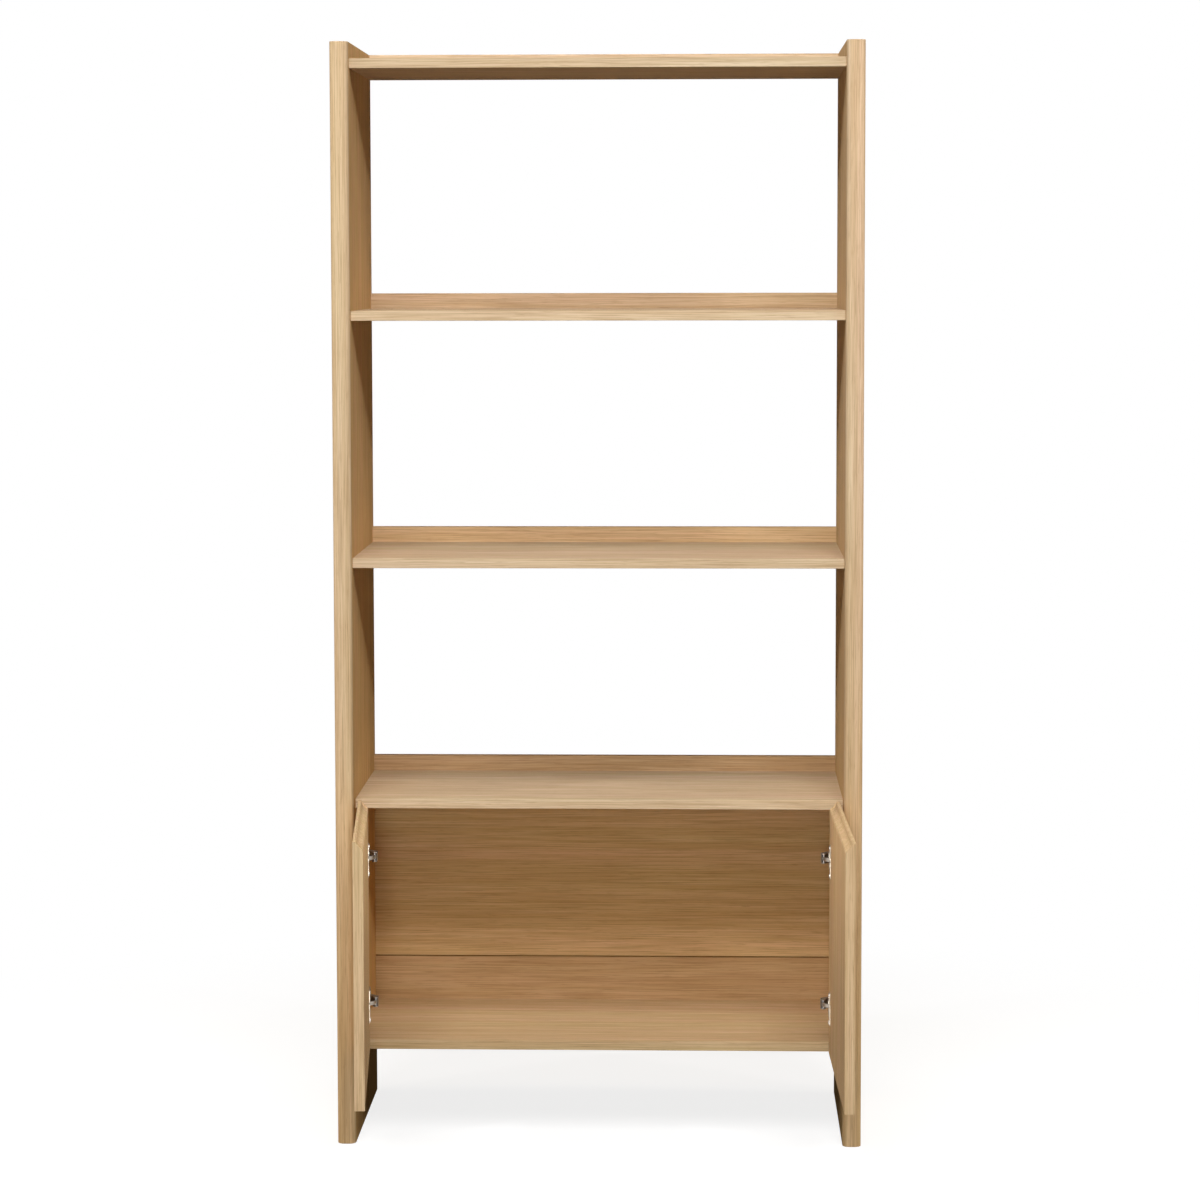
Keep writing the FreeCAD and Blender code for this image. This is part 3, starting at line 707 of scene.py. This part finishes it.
# %% The cup
# The outlines of cup, arm and plate are in millimetres. Bores run right through the sheet.
screw_bore, arm_screw_bore, cup_pin_bore, arm_pin_bore = 1.85 * mm, 2.1 * mm, 1.02 * mm, 1.52 * mm
cup_x, bowl, bowl_depth, sheet_wall = cup_line / mm, cup_radius / mm, cup_depth / mm, 1.0
flange, flange_rise, base_round = 19.0, 1.2, 2.5
screw_line, ear, half_ears = 32.0, 6.0, 22.5
outside = [(0, -bowl_depth), *arc((bowl - base_round, base_round - bowl_depth), base_round, -90, 0, 6),
           (bowl, 0), (flange, 0), (flange, flange_rise), (0, flange_rise)]
inside_round, inside = base_round - sheet_wall, bowl - sheet_wall
hollow = [(0, sheet_wall - bowl_depth),
          *arc((inside - inside_round, base_round - bowl_depth), inside_round, -90, 0, 5),
          (inside, flange_rise + 1), (0, flange_rise + 1)]
cup = spun("cup", [at(cup_x + r, y) for r, y in outside], at(cup_x, 0), (0, 1, 0), 96)
cup_hollow = spun("cup_hollow", [at(cup_x + r, y) for r, y in hollow], at(cup_x, 0), (0, 1, 0), 96)
ears = arc((screw_line, half_ears), ear, 0, 180, 20) + arc((screw_line, -half_ears), ear, 180, 360, 20)
ears = pulled_out("ears", [at(x, 0, z) for x, z in ears], Vector((0, flange_rise * mm, 0)))
combine(cup, [ears], "UNION")
combine(cup, [cup_hollow], "DIFFERENCE")
# two lugs inside the bowl hold the pin that the link's slot rides on
pin_x, pin_y, lug_half, lug_top, lug_from, lug_to = 11.9515, -5.6782, 2.4, 2.2, 3.7, 5.2
lugs = [fresh_block("lug", at(pin_x - lug_half, sheet_wall / 2 - bowl_depth, low),
                    at(pin_x + lug_half, pin_y + lug_top, high))
        for low, high in ((lug_from, lug_to), (-lug_to, -lug_from))]
combine(cup, lugs, "UNION")
bores = [fresh_rod("bore", screw_bore, at(screw_line, -1, z), at(screw_line, 3, z), 32)
         for z in (half_ears, -half_ears)]
bores.append(fresh_rod("bore", cup_pin_bore, at(pin_x, pin_y, -9), at(pin_x, pin_y, 9), 24))
combine(cup, bores, "DIFFERENCE")
soften(cup, 0.22 * mm, 2, 40)
print("cup faces:", len(cup.data.polygons))

# %% The arm
# The outline is seen from above. It starts at the nose, runs along the top to the far end,
# and comes back along the rim to the round that holds the link's pin.
nose_x, heel_x, tip_x, tip_y, tip_radius = 35.7846, 26.7846, 31.2846, 0.5, 4.5
arm_top, arm_rim, arm_end, half_arm, sheet = 15.0, 4.2, 78.0, 8.0, 1.2
side_outline = [(nose_x, tip_y), (nose_x, 8.0), (35.1, 9.9), (15.9, 27.0), (arm_top, 29.2),
                (arm_top, arm_end), (arm_rim, arm_end), (arm_rim, 25.0), (heel_x, 4.0),
                *arc((tip_x, tip_y), tip_radius, 180, 345, 14)]
arm = pulled_out("arm", [at(x, y, -half_arm) for x, y in side_outline],
                 Vector((0, 0, 2 * half_arm * mm)))
channel = [(nose_x - sheet, -6), (nose_x - sheet, 8.0), (33.9, 9.4), (14.7, 26.6),
           (arm_top - sheet, 29.0), (arm_top - sheet, 80), (0, 80), (0, -6)]
inner = half_arm - sheet
cuts = [pulled_out("channel", [at(x, y, -inner) for x, y in channel], Vector((0, 0, 2 * inner * mm)))]
cuts.append(fresh_rod("bore", arm_pin_bore, at(tip_x, tip_y, -9), at(tip_x, tip_y, 9), 32))
arm_screws_at = (42.0, 62.0)
cuts += [fresh_rod("bore", arm_screw_bore, at(5, y), at(17, y), 32) for y in arm_screws_at]
combine(arm, cuts, "DIFFERENCE")
soften(arm, 0.25 * mm, 2, 35)
print("arm faces:", len(arm.data.polygons))

# %% The mounting plate
plate_rise, tower_rise = 2.0, arm_top - sheet
# the cross: two rounded wings with a screw each, and a long foot along the arm
wing, foot_round = 5, 3
cross = [(28, -9), (30, -9),
         *arc((35, -17), wing, 180, 270, 6), *arc((39, -17), wing, 270, 360, 6), (44, -9),
         *arc((71, -6), foot_round, 270, 360, 5), *arc((71, 6), foot_round, 0, 90, 5), (44, 9),
         *arc((39, 17), wing, 0, 90, 6), *arc((35, 17), wing, 90, 180, 6), (30, 9), (28, 9)]
plate = pulled_out("plate", [at(0, y, z) for y, z in cross], Vector((plate_rise * mm, 0, 0)))
tower_round = 2
block = [*arc((34, -4.5), tower_round, 180, 270, 4), *arc((68, -4.5), tower_round, 270, 360, 4),
         *arc((68, 4.5), tower_round, 0, 90, 4), *arc((34, 4.5), tower_round, 90, 180, 4)]
tower = pulled_out("tower", [at(plate_rise / 2, y, z) for y, z in block],
                   Vector(((tower_rise - plate_rise / 2) * mm, 0, 0)))
combine(plate, [tower], "UNION")
plate_screw_y, plate_screw_z, arm_screw_hole = 37.0, 16.0, 8.1
bores = [fresh_rod("bore", screw_bore, at(-1, plate_screw_y, z), at(3, plate_screw_y, z), 32)
         for z in (plate_screw_z, -plate_screw_z)]
bores += [fresh_rod("bore", arm_screw_bore, at(arm_top - arm_screw_hole, y), at(arm_top, y), 32)
          for y in arm_screws_at]
combine(plate, bores, "DIFFERENCE")
soften(plate, 0.3 * mm, 2, 40)
print("plate faces:", len(plate.data.polygons))

# %% [markdown]
# ## Screws
# All the screws have the same low, rounded head with a cross recess. A screw is a drawn half
# outline spun about its own axis, with two crossed slots cut into the head. The three kinds
# differ in the thickness and length of the shank, which is hidden once they are driven in.

# %% Model the three kinds of screws
head_radius, head_rise, slot_long, slot_wide, slot_floor = 3.6, 1.6, 4.3, 1.1, 0.72
screw_shank, arm_screw_shank = 1.75, 2.0


def cross_screw(name, place, direction, shank, length):
    direction = Vector(direction)
    up = Vector((0, 0, 1))
    line = [(0, -length), (shank * 0.35, -length), (shank, 1.6 - length), (shank, 0),
            (head_radius, 0), (head_radius, 0.75), (head_radius - 0.35, 1.2),
            (head_radius - 1.1, 1.48), (head_radius - 2.2, head_rise), (0, head_rise)]
    screw = spun(name, [place + (up * radius + direction * height) * mm for radius, height in line],
                 place, direction, 40)
    across = direction.cross(up)
    slots = []
    for long_way, short_way in ((up, across), (across, up)):
        reach = (long_way * slot_long / 2 + short_way * slot_wide / 2) * mm
        reach = Vector([abs(value) for value in reach])
        slots.append(fresh_block("slot", place + direction * slot_floor * mm - reach,
                                 place + direction * 3 * mm + reach))
    combine(screw, slots[:1], "DIFFERENCE")
    combine(screw, slots[1:], "DIFFERENCE")
    soften(screw, 0.08 * mm, 1, 50)
    return screw


cup_screw = cross_screw("cup_screw", at(screw_line, flange_rise, half_ears), (0, 1, 0),
                        screw_shank, 11.0)
plate_screw = cross_screw("plate_screw", at(plate_rise, plate_screw_y, plate_screw_z), (1, 0, 0),
                          screw_shank, 13.0)
arm_screw = cross_screw("arm_screw", at(arm_top, arm_screws_at[0]), (1, 0, 0),
                        arm_screw_shank, 8.0)
print("screw faces:", len(cup_screw.data.polygons))

# %% [markdown]
# ## Put the hinges in place
# The right hinges are mirrored, and a mirrored mesh is inside out until its faces are flipped.
# Cups and their screws belong to the doors: they are copied for the closed door and swung open
# with it. Arms and plates stay on the cabinet. All screws of one kind become one piece, as
# they are one part in the construction.

# %% Copy, mirror and swing
def copy_of(model, name, change):
    make_active(model)
    bpy.ops.object.duplicate()
    copy = bpy.context.active_object
    copy.name = copy.data.name = name
    copy.data.transform(change)
    if change.determinant() < 0:
        copy.data.flip_normals()
    return copy


def joined(name, copies):
    make_active(copies[0])
    for copy in copies[1:]:
        copy.select_set(True)
    bpy.ops.object.join()
    copies[0].name = copies[0].data.name = name
    return copies[0]


def shifted(y, z):
    return Matrix.Translation((0, y * mm, z * mm))


plate_screws, arm_screws = [], []
for side in ("left", "right"):
    joint = joints[side + "_door_hinge"]
    leaf_body = side + "_door_leaf"
    opened = swing(joint, -joint["range_deg"][0])
    mirror = Matrix.Identity(4) if side == "left" else Matrix.Scale(-1, 4, (1, 0, 0))
    cup_screws = []
    for level, height in hinge_heights.items():
        place = mirror @ Matrix.Translation((0, 0, height - hinge_heights["lower"]))
        own = side + "_" + level + "_hinge_"
        own_cup = copy_of(cup, own + "cup_pressing", opened @ place)
        finish_piece(own_cup, leaf_body, "hinge_nickel", nickel, own + "cup")
        own_arm = copy_of(arm, own + "arm_pressing", place)
        finish_piece(own_arm, "carcass", "hinge_nickel", shaded_nickel, own + "arm")
        own_plate = copy_of(plate, own + "plate_casting", place)
        finish_piece(own_plate, "carcass", "hinge_nickel", nickel, own + "plate")
        for z in (0, -2 * half_ears):
            cup_screws.append(copy_of(cup_screw, "copy", opened @ place @ shifted(0, z)))
        for z in (0, -2 * plate_screw_z):
            plate_screws.append(copy_of(plate_screw, "copy", place @ shifted(0, z)))
        for y in arm_screws_at:
            arm_screws.append(copy_of(arm_screw, "copy", place @ shifted(y - arm_screws_at[0], 0)))
    screw_set = joined(side + "_cup_screw_set", cup_screws)
    finish_piece(screw_set, leaf_body, "fastener_steel", steel, side + "_cup_screws")
for kind, copies in (("plate", plate_screws), ("arm", arm_screws)):
    screw_set = joined(kind + "_screw_set", copies)
    finish_piece(screw_set, "carcass", "fastener_steel", steel, "hinge_" + kind + "_screws")
for model in (cup, arm, plate, cup_screw, plate_screw, arm_screw):
    bpy.data.objects.remove(model)
print("hinges placed:", 2 * len(hinge_heights))
